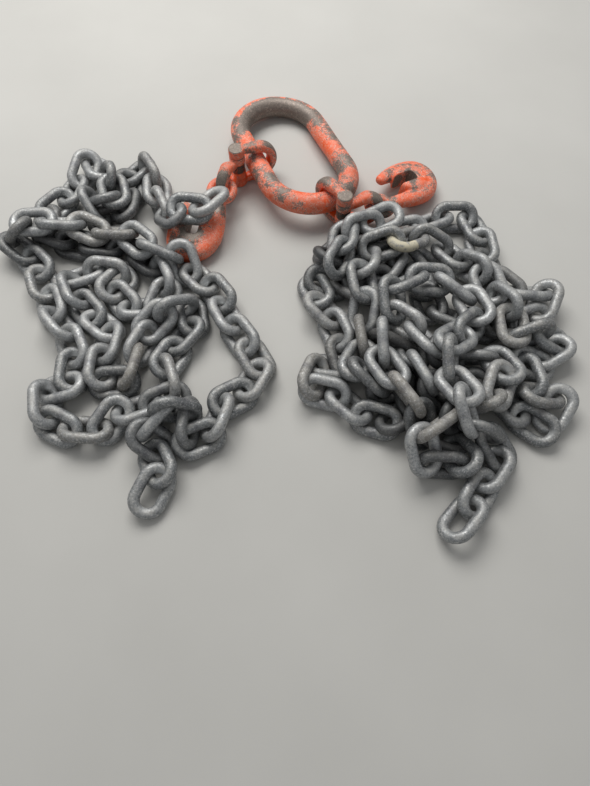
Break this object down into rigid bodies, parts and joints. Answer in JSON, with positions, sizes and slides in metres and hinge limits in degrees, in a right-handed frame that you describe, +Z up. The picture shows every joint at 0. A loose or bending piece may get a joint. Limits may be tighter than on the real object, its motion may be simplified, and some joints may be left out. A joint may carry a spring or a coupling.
{
  "type": "heap of steel chain",
  "caption": "Heap of steel chain: a two-leg short-link lifting sling dropped in two piles, joined by an oblong master link with coupling links and shortening hooks.",
  "frame": {"origin": "middle of the heap's bounding box, on the floor it lies on", "axes": "+Z up; +Y away from the viewer of the picture, towards the master link; +X to the viewer's right, along the line from the left pile to the right pile"},
  "size_m": [1.3016, 1.1886, 0.1543],
  "materials": {
    "chain_steel": "dull blue-grey heat-treated steel with dust and light brown rust",
    "painted_forging": "worn orange paint, rubbed to grey steel on the edges and inner bends",
    "pin_steel": "dark oiled steel"
  },
  "bodies": {
    "root": {"chain_left_01": "chain_steel", "chain_left_02": "chain_steel", "chain_left_03": "chain_steel", "chain_left_04": "chain_steel", "chain_left_05": "chain_steel", "chain_left_06": "chain_steel", "chain_left_07": "chain_steel", "chain_left_08": "chain_steel", "chain_left_09": "chain_steel", "chain_left_10": "chain_steel", "chain_left_11": "chain_steel", "chain_left_12": "chain_steel", "chain_left_13": "chain_steel", "chain_left_14": "chain_steel", "chain_left_15": "chain_steel", "chain_left_16": "chain_steel", "chain_left_17": "chain_steel", "chain_right_01": "chain_steel", "chain_right_02": "chain_steel", "chain_right_03": "chain_steel", "chain_right_04": "chain_steel", "chain_right_05": "chain_steel", "chain_right_06": "chain_steel", "chain_right_07": "chain_steel", "chain_right_08": "chain_steel", "chain_right_09": "chain_steel", "chain_right_10": "chain_steel", "chain_right_11": "chain_steel", "chain_right_12": "chain_steel", "chain_right_13": "chain_steel", "chain_right_14": "chain_steel", "chain_right_15": "chain_steel", "chain_right_16": "chain_steel", "chain_right_17": "chain_steel", "chain_right_18": "chain_steel", "chain_right_19": "chain_steel", "chain_right_20": "chain_steel", "chain_right_21": "chain_steel", "coupling_left_bush": "pin_steel", "coupling_left_lower": "painted_forging", "coupling_left_pin": "pin_steel", "coupling_left_upper": "painted_forging", "coupling_right_bush": "pin_steel", "coupling_right_lower": "painted_forging", "coupling_right_pin": "pin_steel", "coupling_right_upper": "painted_forging", "hook_left": "painted_forging", "hook_right": "painted_forging", "master_link": "painted_forging"}
  },
  "joints": []
}
